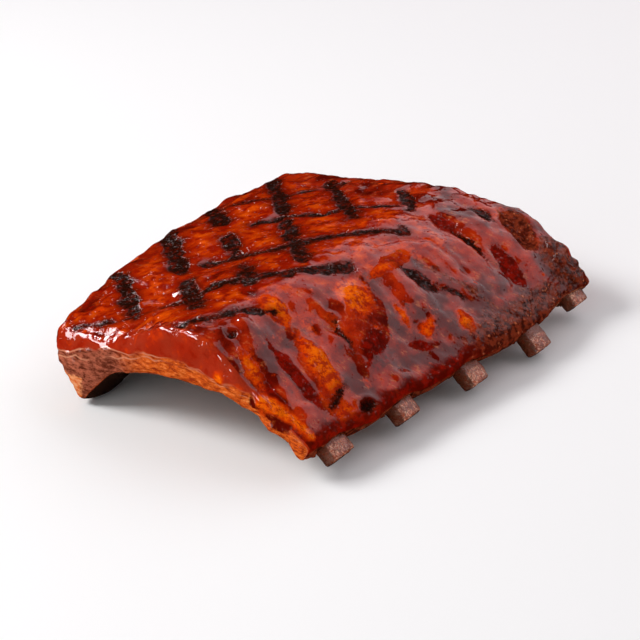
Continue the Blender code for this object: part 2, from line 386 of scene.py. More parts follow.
class Graph:
    """A material's nodes, wired with short calls."""

    def __init__(self, name: str) -> None:
        """Start a material with its shader and output.

        Args:
            name: the material's name.
        """
        self.material = bpy.data.materials.new(name)
        self.material.use_nodes = True
        self.tree = self.material.node_tree
        self.shader = self.tree.nodes["Principled BSDF"]

    def join(self, source: object, target: Socket) -> None:
        """Feed a socket from another socket, a number or a colour."""
        if isinstance(source, bpy.types.NodeSocket):
            self.tree.links.new(source, target)
        elif isinstance(source, tuple) and target.type == "RGBA":
            target.default_value = (*source, 1.0)
        else:
            target.default_value = source

    def feed(self, name: str, source: object) -> None:
        """Feed one of the shader's own sockets."""
        self.join(source, self.shader.inputs[name])

    def place(self, pattern: Pattern) -> Socket:
        """The place on the piece in millimetres, stretched and turned about +Z for a pattern.

        Args:
            pattern: the pattern, whose small stretches draw it out.

        Returns:
            The vector socket.
        """
        source = self.tree.nodes.new("ShaderNodeTexCoord")
        mapping = self.tree.nodes.new("ShaderNodeMapping")
        mapping.vector_type = "TEXTURE"
        mapping.inputs["Rotation"].default_value = (0.0, 0.0, math.radians(pattern.turn))
        mapping.inputs["Scale"].default_value = tuple(MILLIMETRE / share for share in pattern.stretch)
        self.tree.links.new(source.outputs["Object"], mapping.inputs["Vector"])
        return mapping.outputs["Vector"]

    def noise(self, pattern: Pattern) -> Socket:
        """Cloudy noise of a pattern, from nought to one."""
        node = self.tree.nodes.new("ShaderNodeTexNoise")
        self.tree.links.new(self.place(pattern), node.inputs["Vector"])
        node.inputs["Scale"].default_value = 1.0 / pattern.size
        node.inputs["Detail"].default_value = pattern.detail
        node.inputs["Roughness"].default_value = pattern.roughness
        return node.outputs["Fac"]

    def cells(self, pattern: Pattern, feature: str = "F1") -> Socket:
        """Distances to scattered points, as crumbs and cracks have them.

        Args:
            pattern: the points' spacing and stretch.
            feature: which distance.

        Returns:
            The distance socket.
        """
        node = self.tree.nodes.new("ShaderNodeTexVoronoi")
        node.feature = feature
        self.tree.links.new(self.place(pattern), node.inputs["Vector"])
        node.inputs["Scale"].default_value = 1.0 / pattern.size
        return node.outputs["Distance"]

    def math(self, operation: str, *values: object) -> Socket:
        """One sum of one to three values.

        Args:
            operation: the Math node's operation.
            values: sockets or numbers.

        Returns:
            The result socket.
        """
        node = self.tree.nodes.new("ShaderNodeMath")
        node.operation = operation
        for value, target in zip(values, node.inputs):
            self.join(value, target)
        return node.outputs[0]

    def plus(self, first: object, second: object) -> Socket:
        """Two values added."""
        return self.math("ADD", first, second)

    def times(self, first: object, second: object) -> Socket:
        """Two values multiplied."""
        return self.math("MULTIPLY", first, second)

    def scaled(self, value: object, factor: object, offset: object) -> Socket:
        """A value times a factor, with an offset added."""
        return self.math("MULTIPLY_ADD", value, factor, offset)

    def most(self, *values: object) -> Socket:
        """The largest of some values."""
        result = values[0]
        for value in values[1:]:
            result = self.math("MAXIMUM", result, value)
        return result

    def step(
        self, value: object, low: float, high: float, to_low: float = 0.0, to_high: float = 1.0
    ) -> Socket:
        """A value read through an S-curve.

        Args:
            value: the value.
            low: where the curve starts.
            high: where it ends.
            to_low: its height at the start.
            to_high: its height at the end.

        Returns:
            The result socket.
        """
        node = self.tree.nodes.new("ShaderNodeMapRange")
        node.interpolation_type = "SMOOTHSTEP"
        for value_in, target in zip((value, low, high, to_low, to_high), node.inputs):
            self.join(value_in, target)
        return node.outputs["Result"]

    def mix(self, share: object, first: object, second: object) -> Socket:
        """A blend of two colours.

        Args:
            share: how much of the second.
            first: the first colour.
            second: the second colour.

        Returns:
            The colour socket.
        """
        node = self.tree.nodes.new("ShaderNodeMix")
        node.data_type = "RGBA"
        self.join(share, node.inputs["Factor"])
        self.join(first, node.inputs["A"])
        self.join(second, node.inputs["B"])
        return node.outputs["Result"]

    def attribute(self, name: str) -> Socket:
        """A number stored on the piece's vertices."""
        node = self.tree.nodes.new("ShaderNodeAttribute")
        node.attribute_name = name
        return node.outputs["Fac"]

    def bump(self, height: Socket, strength: float) -> Socket:
        """A bent normal from a height in millimetres.

        Args:
            height: the height.
            strength: how much of it to use.

        Returns:
            The normal socket.
        """
        node = self.tree.nodes.new("ShaderNodeBump")
        node.inputs["Strength"].default_value = strength
        node.inputs["Distance"].default_value = MILLIMETRE
        self.tree.links.new(height, node.inputs["Height"])
        return node.outputs["Normal"]


# Finishes


class MeatGraph(Graph):
    """The meat's nodes, with the patterns and the ragged areas that its layers share."""

    BROAD = Pattern(13.0)
    PATCHY = Pattern(4.5, 3.0)
    MIDDLE = Pattern(2.6, 4.0, 0.6)
    FINE = Pattern(0.8, 3.0, 0.6)
    STREAK = Pattern(1.7, 5.0, 0.65, (0.30, 1.0, 1.0), -14.0)
    STRANDS = Pattern(0.9, 5.0, 0.72, (1.0, 0.26, 0.8))
    SWELL = Pattern(8.0, 1.0)
    SPECK = Pattern(1.0)
    CRUMBS = Pattern(1.6)

    def __init__(self) -> None:
        """Start the material with its patterns and areas."""
        super().__init__("glazed_meat")
        self.broad = self.noise(self.BROAD)
        self.patchy = self.noise(self.PATCHY)
        self.middle = self.noise(self.MIDDLE)
        self.fine = self.noise(self.FINE)
        self.streak = self.noise(self.STREAK)
        self.strands = self.noise(self.STRANDS)
        self.speck = self.cells(self.SPECK)
        self.crumbs = self.cells(self.CRUMBS)
        wander = self.scaled(self.middle, 3.0, -1.5)
        self.ragged = self.plus(wander, self.scaled(self.fine, 2.2, -1.1))
        self.roasted = self.step(self.area("roast", 0.14), 0.40, 0.62)
        self.crusted = self.step(self.scaled(self.middle, 0.9, self.attribute("crust")), 0.70, 1.15)
        self.char_in = self.area("char", 0.95)
        self.char = self.step(self.char_in, -0.5, 0.4)
        self.cut = self.step(self.area("cut", 0.08), 0.38, 0.62)
        swell = self.scaled(self.noise(self.SWELL), 7.0, -3.5)
        self.above_skin = self.plus(swell, self.attribute("skin"))
        self.below = self.times(self.cut, self.step(self.above_skin, 0.6, -0.6))
        self.lip = self.step(self.area("lip", 0.12), 0.35, 0.80)
        self.dry = self.most(self.step(self.area("dry", 0.50), -0.10, 0.14), self.lip)

    def area(self, name: str, spread: float) -> Socket:
        """One of the slab's areas, its edge made ragged by a spread."""
        return self.scaled(self.ragged, spread, self.attribute(name))


@dataclass(frozen=True)
class GlazedMeat:
    """Grilled meat under a wet red-brown glaze, with bare, pooled, charred and cut places."""

    deep_glaze: Colour = (0.105, 0.0032, 0.0008)
    glaze: Colour = (0.36, 0.016, 0.003)
    warm_glaze: Colour = (0.62, 0.040, 0.001)
    amber: Colour = (0.92, 0.150, 0.002)
    wisp: Colour = (0.66, 0.200, 0.060)
    smudge: Colour = (0.045, 0.008, 0.005)
    roast_dark: Colour = (0.29, 0.0085, 0.0007)
    roast: Colour = (0.53, 0.034, 0.001)
    roast_light: Colour = (0.74, 0.080, 0.002)
    pool: Colour = (0.240, 0.0050, 0.0008)
    pool_dark: Colour = (0.100, 0.0030, 0.0006)
    char: Colour = (0.016, 0.0030, 0.0012)
    char_halo: Colour = (0.130, 0.0060, 0.0010)
    crust_dark: Colour = (0.045, 0.007, 0.003)
    crust: Colour = (0.22, 0.033, 0.012)
    crust_light: Colour = (0.56, 0.150, 0.060)
    band: Colour = (0.36, 0.028, 0.009)
    fibre_dark: Colour = (0.30, 0.030, 0.007)
    fibre: Colour = (0.66, 0.105, 0.012)
    fibre_light: Colour = (0.86, 0.280, 0.070)
    leg_dark: Colour = (0.10, 0.018, 0.008)
    leg_light: Colour = (0.46, 0.120, 0.065)
    bit: Colour = (0.80, 0.340, 0.150)
    skin: Colour = (0.70, 0.30, 0.17)
    under: Colour = (0.22, 0.045, 0.018)
    under_light: Colour = (0.40, 0.150, 0.070)
    # char and painted shade: near-black for the foot's inner underside, under the arch
    burnt_and_shaded_foot: Colour = (0.020, 0.008, 0.005)
    wisp_pattern: Pattern = Pattern(1.1, 5.0, 0.7, (1.0, 0.30, 0.6), 24.0)
    soot_pattern: Pattern = Pattern(3.4, 4.0, 0.65, (1.0, 0.55, 1.0), 30.0)
    clump_pattern: Pattern = Pattern(2.3, 4.0, 0.6)
    fold_pattern: Pattern = Pattern(11.0, 1.0)
    dew_pattern: Pattern = Pattern(1.1)
    bead_pattern: Pattern = Pattern(1.5)
    bead_groups: Pattern = Pattern(3.0)
    ripple_pattern: Pattern = Pattern(1.8)
    ripple_height: float = 0.06
    bead_height: float = 0.42
    bump_strength: float = 0.9
    coat_roughness: float = 0.06
    coat_ior: float = 1.5

    def material(self) -> bpy.types.Material:
        """The finish as a material.

        Returns:
            A Principled material that reads the slab's attributes.
        """
        graph = MeatGraph()
        crumb = self._crumb(graph)
        colour = graph.mix(graph.times(graph.crusted, 0.85), self._top(graph), crumb)
        colour = self._charred(graph, colour)
        colour = graph.mix(graph.cut, colour, self._cut_end(graph))
        colour = self._near_corner(graph, colour)
        below = self._under_side(graph, crumb)
        graph.feed("Base Color", graph.mix(graph.step(graph.attribute("under"), 0.25, 0.70), colour, below))
        self._wetness(graph)
        self._bumps(graph)
        return graph.material

    def _glaze(self, graph: MeatGraph) -> Socket:
        """The thin glaze: cloudy, with pale wisps, sooty smudges and painted shade towards the lower front.

        Args:
            graph: the material.

        Returns:
            The colour socket.
        """
        tone = graph.scaled(graph.patchy, 0.35, graph.times(graph.broad, 0.65))
        # painted shade: the glaze darker towards the lower front
        tone = graph.scaled(graph.attribute("shade"), -0.11, tone)
        glaze = graph.mix(graph.step(tone, 0.36, 0.56), self.deep_glaze, self.glaze)
        glaze = graph.mix(graph.step(tone, 0.50, 0.66, 0.0, 0.6), glaze, self.warm_glaze)
        wisps = graph.step(graph.noise(self.wisp_pattern), 0.50, 0.64)
        wisps = graph.times(wisps, graph.step(graph.patchy, 0.50, 0.62))
        glaze = graph.mix(graph.times(wisps, 0.4), glaze, self.wisp)
        soot = graph.step(graph.noise(self.soot_pattern), 0.63, 0.72, 0.0, 0.85)
        return graph.mix(soot, glaze, self.smudge)

    def _roast(self, graph: MeatGraph) -> Socket:
        """The roasted half: orange, mottled along the grain.

        Args:
            graph: the material.

        Returns:
            The colour socket.
        """
        grain = graph.scaled(graph.patchy, 0.50, graph.times(graph.middle, 0.28))
        grain = graph.scaled(graph.streak, 0.22, grain)
        roast = graph.mix(graph.step(grain, 0.44, 0.52), self.roast_dark, self.roast)
        return graph.mix(graph.step(grain, 0.51, 0.61), roast, self.roast_light)

    def _top(self, graph: MeatGraph) -> Socket:
        """The top with its warm spots, pools, a darker loin edge of thick glaze and painted shade, pores and
        dark lip.

        Args:
            graph: the material.

        Returns:
            The colour socket.
        """
        colour = graph.mix(graph.roasted, self._glaze(graph), self._roast(graph))
        mottle = graph.scaled(graph.fine, 0.22, graph.times(graph.middle, 0.78))
        warmed = graph.mix(graph.step(mottle, 0.40, 0.50), self.glaze, self.warm_glaze)
        colour = graph.mix(graph.step(graph.area("warm", 0.20), 0.15, 0.60), colour, warmed)
        ambered = graph.step(graph.area("warm", 0.34), 0.50, 1.15)
        ambered = graph.times(ambered, graph.step(mottle, 0.42, 0.56, 0.2, 1.0))
        colour = graph.mix(ambered, colour, self.amber)
        pool = graph.mix(graph.step(graph.middle, 0.40, 0.62), self.pool_dark, self.pool)
        colour = graph.mix(graph.step(graph.area("deep", 0.16), 0.25, 0.75), colour, pool)
        pores = graph.step(graph.speck, 0.22, 0.10, 0.0, 0.85)
        colour = graph.mix(graph.times(pores, graph.step(graph.middle, 0.45, 0.6)), colour, self.smudge)
        lip = graph.mix(graph.step(graph.middle, 0.44, 0.62), self.pool_dark, self.pool)
        return graph.mix(graph.times(graph.lip, 0.9), colour, lip)

    def _crumb(self, graph: MeatGraph) -> Socket:
        """The crumbs of the torn crust.

        Args:
            graph: the material.

        Returns:
            The colour socket.
        """
        clumps = graph.step(graph.noise(self.clump_pattern), 0.42, 0.57)
        crumb = graph.mix(clumps, self.crust_dark, self.crust)
        light = graph.times(graph.step(graph.crumbs, 0.45, 0.15), graph.step(graph.middle, 0.54, 0.66))
        return graph.mix(light, crumb, self.crust_light)

    def _charred(self, graph: MeatGraph, colour: Socket) -> Socket:
        """The grill marks, each with a dark rim that fades out.

        Args:
            graph: the material.
            colour: what they lie on.

        Returns:
            The colour socket.
        """
        halo = graph.times(graph.step(graph.char_in, -6.5, -1.5, 0.0, 0.75), graph.roasted)
        colour = graph.mix(halo, colour, self.roast_dark)
        rim = graph.step(graph.char_in, -2.6, -0.3)
        rim = graph.times(rim, graph.step(graph.roasted, 0.0, 1.0, 0.30, 0.80))
        colour = graph.mix(rim, colour, self.char_halo)
        burnt = graph.mix(graph.step(graph.middle, 0.46, 0.70, 0.0, 0.85), self.char, self.char_halo)
        return graph.mix(graph.char, colour, burnt)

    def _cut_end(self, graph: MeatGraph) -> Socket:
        """The cut ends: torn fibres below a pale skin line and a band of glaze above it.

        Args:
            graph: the material.

        Returns:
            The colour socket.
        """
        fibre = graph.mix(graph.step(graph.strands, 0.38, 0.53), self.fibre_dark, self.fibre)
        fibre = graph.mix(graph.step(graph.strands, 0.52, 0.70), fibre, self.fibre_light)
        leg = graph.mix(graph.step(graph.strands, 0.36, 0.66), self.leg_dark, self.leg_light)
        fibre = graph.mix(graph.step(graph.area("leg", 0.16), 0.1, 0.9), fibre, leg)
        bit = graph.mix(graph.step(graph.strands, 0.34, 0.60), self.fibre, self.bit)
        fibre = graph.mix(graph.step(graph.area("bit", 1.3), -0.6, 0.8), fibre, bit)
        band = graph.mix(graph.step(graph.broad, 0.40, 0.62, 0.0, 0.8), self.band, self.glaze)
        band = graph.mix(graph.step(graph.patchy, 0.54, 0.70, 0.0, 0.6), band, self.warm_glaze)
        band = graph.mix(graph.step(graph.patchy, 0.46, 0.34, 0.0, 0.6), band, self.roast_dark)
        end = graph.mix(graph.step(graph.above_skin, -1.1, 0.9), fibre, band)
        fold = graph.scaled(graph.noise(self.fold_pattern), 9.0, -3.0)
        folded = graph.math("ABSOLUTE", graph.plus(fold, graph.attribute("skin")))
        lines = graph.math("MINIMUM", graph.math("ABSOLUTE", graph.above_skin), folded)
        pale = graph.times(graph.step(lines, 0.50, 0.05), graph.step(graph.broad, 0.42, 0.56, 0.05, 0.60))
        return graph.mix(pale, end, self.skin)

    def _near_corner(self, graph: MeatGraph, colour: Socket) -> Socket:
        """A painted highlight along the ridge strip at the near corner, a painted glow on a knob of the near
        cut end, and the groove beside the strip darker.

        Args:
            graph: the material.
            colour: what they lie on.

        Returns:
            The colour socket.
        """
        # painted highlight: warm glaze along the ridge strip and on the knob, amber at its middle
        colour = graph.mix(graph.step(graph.area("strip", 0.40), -0.2, 1.0), colour, self.warm_glaze)
        ridge_highlight = graph.mix(graph.step(graph.strands, 0.36, 0.56), self.glaze, self.amber)
        colour = graph.mix(graph.step(graph.area("strip", 0.80), 0.5, 1.9), colour, ridge_highlight)
        return graph.mix(graph.step(graph.area("groove", 0.45), -0.5, 0.3), colour, self.deep_glaze)

    def _under_side(self, graph: MeatGraph, crumb: Socket) -> Socket:
        """The under side: membrane, near-black at the foot's inner side as char and painted shade, and
        crumbly at the lip.

        Args:
            graph: the material.
            crumb: the crumbs' colour.

        Returns:
            The colour socket.
        """
        membrane = graph.mix(graph.step(graph.streak, 0.40, 0.66), self.under, self.under_light)
        # char and painted shade on the foot's inner underside
        membrane = graph.mix(graph.step(graph.area("foot", 0.12), 0.25, 0.70), membrane, self.burnt_and_shaded_foot)
        return graph.mix(graph.step(graph.area("lip", 0.12), 0.25, 0.70), membrane, crumb)

    def _wetness(self, graph: MeatGraph) -> None:
        """Coat the meat with wet glaze, less where it is dry, charred, crusted or cut.

        Args:
            graph: the material.
        """
        dew = graph.step(graph.noise(self.dew_pattern), 0.61, 0.67)
        matt = graph.times(graph.char, graph.step(graph.patchy, 0.42, 0.56, 0.70, 0.97))
        matt = graph.most(graph.dry, matt, graph.times(graph.crusted, 0.35))
        coat = graph.math("SUBTRACT", 1.0, graph.times(matt, graph.step(dew, 0.0, 1.0, 0.97, 0.20)))
        graph.feed("Coat Weight", graph.times(coat, graph.step(graph.below, 0.0, 1.0, 1.0, 0.50)))
        graph.feed("Coat Roughness", self.coat_roughness)
        graph.feed("Coat IOR", self.coat_ior)
        graph.feed("Specular IOR Level", 0.0)
        graph.feed("Roughness", graph.step(graph.fine, 0.3, 0.7, 0.40, 0.60))

    def _bumps(self, graph: MeatGraph) -> None:
        """Roughen the meat, and its coat only where it is thin or beaded.

        Args:
            graph: the material.
        """
        dents = graph.times(graph.step(graph.speck, 0.0, 0.35), 0.08)
        height = graph.plus(graph.scaled(graph.streak, 0.12, graph.times(graph.fine, 0.16)), dents)
        grit = graph.scaled(graph.fine, 0.36, graph.times(graph.step(graph.crumbs, 0.0, 0.7), -0.42))
        gritty = graph.most(graph.times(graph.crusted, 0.8), graph.times(graph.char, 0.7))
        beads = graph.times(graph.step(graph.cells(self.bead_pattern), 0.42, 0.0), self.bead_height)
        beads = graph.times(beads, graph.step(graph.noise(self.bead_groups), 0.49, 0.57))
        beads = graph.times(beads, graph.step(graph.roasted, 0.0, 1.0, 0.35, 1.0))
        ripple = graph.scaled(graph.noise(self.ripple_pattern), self.ripple_height, beads)
        thin = graph.most(graph.times(graph.roasted, 0.30), graph.dry, graph.below)
        wet = graph.scaled(grit, gritty, graph.scaled(height, thin, ripple))
        graph.feed("Normal", graph.bump(graph.scaled(grit, gritty, height), self.bump_strength))
        graph.feed("Coat Normal", graph.bump(wet, self.bump_strength))


@dataclass(frozen=True)
class RoastedBone:
    """Roasted bone: pinkish tan, finely cracked, with a damp sheen, painted glints, painted shade on its -X
    side and under its tip, and a glazed root.
    """

    dark: Colour = (0.30, 0.052, 0.018)
    plain: Colour = (0.62, 0.130, 0.048)
    # painted highlight: the pinkish-white of the glints on the bone's flecks and crinkle lines
    light: Colour = (1.0, 0.52, 0.34)
    crack: Colour = (0.16, 0.026, 0.010)
    # painted shade: the darker colour of the bone's side turned to -X
    side: Colour = (0.115, 0.036, 0.012)
    root: Colour = (0.20, 0.030, 0.006)
    # painted shade: the dark colour under the bone's tip
    end: Colour = (0.075, 0.015, 0.006)
    broad_pattern: Pattern = Pattern(3.5, 3.0)
    fine_pattern: Pattern = Pattern(0.75, 4.0, 0.65, (1.0, 0.45, 1.0))
    crack_pattern: Pattern = Pattern(1.9, stretch=(1.0, 0.6, 1.0), turn=20.0)
    crinkle_pattern: Pattern = Pattern(1.5, 2.0, 0.6, (1.0, 0.6, 1.0), 20.0)
    ripple_pattern: Pattern = Pattern(1.4, 3.0, 0.6)
    ripple_height: float = 0.55
    crinkle_height: float = 0.12
    fine_height: float = 0.42
    coat_roughness: float = 0.07
    coat_ior: float = 1.9

    def material(self) -> bpy.types.Material:
        """The finish as a material.

        Returns:
            A Principled material that reads the bone's attributes.
        """
        graph = Graph("roasted_bone")
        broad = graph.noise(self.broad_pattern)
        fine = graph.noise(self.fine_pattern)
        ragged = graph.scaled(broad, 0.6, -0.3)

        def area(name: str, strength: float) -> Socket:
            """How much of one of the bone's areas shows, with a ragged edge."""
            return graph.step(graph.plus(graph.attribute(name), ragged), 0.3, 0.7, 0.0, strength)

        colour = graph.mix(graph.step(broad, 0.35, 0.65), self.dark, self.plain)
        # painted highlight: pinkish-white glints on the bright flecks
        colour = graph.mix(graph.step(fine, 0.52, 0.64, 0.0, 0.5), colour, self.light)
        # the crinkle lines: a slight raised relief, with painted pinkish-white glints along them
        crinkles_and_glints = graph.math("SUBTRACT", graph.noise(self.crinkle_pattern), 0.5)
        crinkles_and_glints = graph.step(graph.math("ABSOLUTE", crinkles_and_glints), 0.045, 0.010)
        colour = graph.mix(graph.times(crinkles_and_glints, graph.step(broad, 0.40, 0.54)), colour, self.light)
        cracks = graph.step(graph.cells(self.crack_pattern, "DISTANCE_TO_EDGE"), 0.10, 0.02)
        cracks = graph.times(cracks, graph.step(fine, 0.36, 0.56, 0.15, 0.80))
        colour = graph.mix(cracks, colour, self.crack)
        colour = graph.mix(area("root", 0.85), colour, self.root)
        # painted shade: darker on the side turned to -X, darkest under the tip
        side = graph.mix(graph.step(fine, 0.40, 0.62), self.crack, self.side)
        colour = graph.mix(area("side", 0.8), colour, side)
        graph.feed("Base Color", graph.mix(area("end", 0.9), colour, self.end))
        graph.feed("Roughness", graph.step(fine, 0.3, 0.7, 0.22, 0.48))
        graph.feed("Coat Weight", 1.0)
        graph.feed("Coat Roughness", self.coat_roughness)
        graph.feed("Coat IOR", self.coat_ior)
        ripple = graph.times(graph.noise(self.ripple_pattern), self.ripple_height)
        height = graph.scaled(fine, self.fine_height, graph.times(crinkles_and_glints, self.crinkle_height))
        graph.feed("Normal", graph.bump(height, 1.0))
        graph.feed("Coat Normal", graph.bump(graph.plus(height, ripple), 1.0))
        return graph.material


@dataclass(frozen=True)
class PaleFloor:
    """Plain matt floor."""

    colour: Colour = (0.96, 0.96, 0.96)

    def material(self) -> bpy.types.Material:
        """The finish as a material.

        Returns:
            A plain matt Principled material.
        """
        graph = Graph("pale_floor")
        graph.feed("Base Color", self.colour)
        graph.feed("Roughness", 1.0)
        graph.feed("Specular IOR Level", 0.0)
        return graph.material


# The slab of meat


@dataclass(frozen=True)
class Feature:
    """A form on the top: its outline, its height or depth, and how softly it ends, in millimetres."""

    shape: Patch | Stroke
    rise: float
    soft: float = 1.5

    def relief(self, plan: np.ndarray) -> np.ndarray:
        """The form's height at each place, in millimetres."""
        return self.rise * smooth_step(-self.soft, self.soft, self.shape.inside(plan))


@dataclass
class MeatSlab:
    """The slab of meat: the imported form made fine, with its relief and the areas of its finish."""

    node: str = "meat"
    name: str = "meat_slab"
    cell: float = 0.00078
    smoothing: int = 26
    broad_smoothing: int = 12
    triangles: int = 196000
    bone_margin: tuple[float, float] = (0.0010, 0.0028)
    slant: float = math.tan(math.radians(8.0))
    tip_line: float = -67.0
    ridge_line: float = -27.0
    foot_edge: float = 23.5
    # the middle of a small knob on the near cut end, raised and given a painted glow
    near_knob_glow: tuple[float, float, float] = (-75.2, -35.8, 29.0)
    above_all: float = 9.0
    far_band: float = 6.0
    far_columns: float = 4.0
    skin_line: tuple[tuple[float, float], ...] = (
        (-72.0, 12.0), (-60.0, 19.5), (-45.0, 26.5), (-30.0, 28.5), (-15.0, 29.5),
        (0.0, 28.0), (12.0, 25.0), (26.0, 20.5), (36.0, 20.0), (60.0, 18.0),
    )
    grill_long: tuple[Stroke, ...] = (
        Stroke(2.6, ((13.0, 62.5), (23.0, 52.5), (32.0, 46.0), (44.0, 43.5), (55.0, 39.0), (66.5, 33.5))),
        Stroke(4.0, ((8.0, 34.0), (18.0, 29.0), (25.5, 16.0), (34.0, 9.0), (44.5, -4.0))),
        Stroke(5.2, ((-26.0, 25.0), (-16.0, 15.0), (-12.0, 3.0), (0.0, -5.0), (12.0, -11.0), (27.0, -21.5))),
        Stroke(
            5.6, ((-58.5, 0.5), (-43.0, -1.5), (-38.0, -11.0), (-28.5, -19.0), (-15.5, -25.0), (-8.0, -27.5))
        ),
        Stroke(3.4, ((-74.5, -18.0), (-66.5, -23.0), (-55.5, -27.0), (-47.0, -32.5))),
        Stroke(1.9, ((-79.5, 30.5), (-73.5, 18.5), (-65.5, 10.0), (-57.0, 4.5))),
    )
    grill_cross: tuple[Stroke, ...] = (
        Stroke(6.6, ((-47.5, 49.0), (-50.0, 41.0), (-56.5, 31.5), (-61.0, 24.5))),
        Stroke(4.6, ((-61.0, 24.5), (-65.5, 17.0), (-69.0, 11.0))),
        Stroke(7.0, ((-13.0, 60.0), (-18.0, 51.5), (-25.0, 41.0), (-34.0, 28.5))),
        Stroke(6.4, ((-41.0, 17.5), (-48.0, 8.0), (-62.5, -11.0))),
        Stroke(7.2, ((13.5, 64.0), (6.5, 53.0), (2.5, 46.5))),
        Stroke(5.6, ((-6.5, 33.0), (-12.0, 24.5), (-17.0, 15.5))),
        Stroke(6.2, ((-27.0, 4.0), (-33.0, -5.0), (-39.5, -13.5))),
        Stroke(6.6, ((51.0, 69.0), (39.0, 54.0), (25.5, 37.5), (18.5, 29.0))),
        Stroke(6.0, ((14.0, 24.0), (3.5, 11.0), (-9.0, -5.0), (-15.0, -14.0))),
        Stroke(6.2, ((56.5, 42.0), (45.5, 26.5), (34.5, 12.5), (25.5, 1.5))),
        Stroke(5.0, ((60.0, 8.5), (53.0, -1.0), (46.0, -9.5))),
    )
    char_spots: tuple[Patch, ...] = patches(
        (12.5, -42.0, 7.0, 2.8, -62.0), (20.5, -50.0, 4.5, 1.2, -50.0), (-66.8, -32.8, 1.6, 1.4),
        (-41.0, -67.0, 3.2, 1.6), (46.5, -36.0, 7.5, 1.8, 88.0), (64.5, -27.0, 6.0, 2.2, 85.0),
        (-49.5, -61.5, 5.5, 1.0, 20.0), (-31.5, -47.0, 5.0, 0.8, 80.0),
    )
    warm_spots: tuple[Patch, ...] = patches(
        (-16.5, -38.0, 9.5, 6.0, 42.0), (-46.5, -52.0, 11.0, 4.6, 80.0), (8.0, -32.3, 12.5, 3.0, 12.0),
        (-4.9, -49.5, 3.6, 1.8, 80.0), (0.3, -56.5, 3.8, 2.1, 15.0), (-45.0, -31.0, 6.5, 5.0, 80.0),
        (-50.0, -66.0, 5.0, 2.6, 10.0), (-55.5, -62.0, 3.6, 2.0, 70.0), (-68.5, -43.0, 5.0, 3.0, 80.0),
        (16.0, -60.5, 4.5, 3.5, 80.0), (71.0, -30.0, 5.0, 2.5, 20.0), (-40.0, -40.0, 4.0, 2.0, 80.0),
    )
    dry_spots: tuple[Patch, ...] = patches(
        (-18.8, -45.5, 13.5, 7.4, 47.0), (-47.5, -52.0, 10.5, 4.6, 80.0), (7.0, -33.3, 12.0, 2.8, 10.0),
        (-4.9, -49.5, 3.2, 1.3, 80.0), (0.3, -56.5, 3.4, 1.9, 15.0), (-45.2, -30.5, 6.5, 4.6, 80.0),
        (-47.0, -39.5, 2.8, 2.4), (-50.5, -66.2, 4.8, 2.6, 10.0), (-68.8, -43.5, 6.5, 2.8, 85.0),
        (-5.5, -59.5, 5.0, 1.2, -22.0), (16.0, -60.5, 4.2, 2.8, 80.0), (-57.0, -51.0, 11.5, 2.3, 92.0),
        (-51.5, -61.0, 6.0, 3.4, 45.0), (47.5, -23.0, 6.5, 3.6, 75.0), (46.0, -36.5, 8.0, 2.6, 88.0),
        (52.5, -49.5, 8.0, 4.0, 82.0), (71.5, -38.5, 10.0, 6.0, 70.0), (-30.5, -50.0, 7.0, 1.2, 78.0),
        (-69.0, -54.0, 9.0, 1.6, 80.0),
    )
    pools: tuple[Patch, ...] = patches(
        (-35.0, 7.4, 6.0, 2.4, -10.0), (-44.4, -18.0, 6.0, 3.0, 60.0), (-30.6, -18.5, 5.0, 2.5, -40.0),
        (-57.7, 46.3, 6.0, 2.0, -60.0), (-24.5, -55.3, 7.0, 4.4, 30.0), (-57.4, -52.0, 12.0, 3.0, 92.0),
        (47.5, -23.0, 6.5, 3.8, 75.0), (52.5, -49.0, 8.0, 4.5, 82.0), (-68.6, -56.0, 12.0, 1.8, 80.0),
        (-5.5, -59.5, 5.5, 1.3, -22.0),
    )
    torn_spots: tuple[Patch, ...] = patches(
        (71.5, -38.5, 10.0, 5.5, 70.0), (77.0, -54.0, 9.0, 7.5), (50.0, -63.5, 18.0, 4.0, 8.0),
        (25.0, -48.0, 9.0, 0.6, -60.0),
    )
    # a raised ridge at the near corner, given a painted highlight along it
    strip: Stroke = Stroke(4.0, ((-71.5, -50.5), (-69.2, -58.4), (-67.0, -66.0)))
    groove: Stroke = Stroke(1.0, ((-73.6, -47.5), (-73.0, -52.0), (-71.9, -57.0), (-70.5, -61.0)))
    loin_edge: Stroke = Stroke(
        7.0, ((-70.0, 36.0), (-55.0, 46.0), (-42.0, 47.5), (-21.0, 54.0), (13.0, 62.0), (40.0, 68.0))
    )
    rim: Stroke = Stroke(
        1.4, ((-84.0, 35.0), (-81.0, 13.0), (-78.0, -7.0), (-75.5, -21.0), (-73.8, -33.0), (-72.0, -42.0))
    )
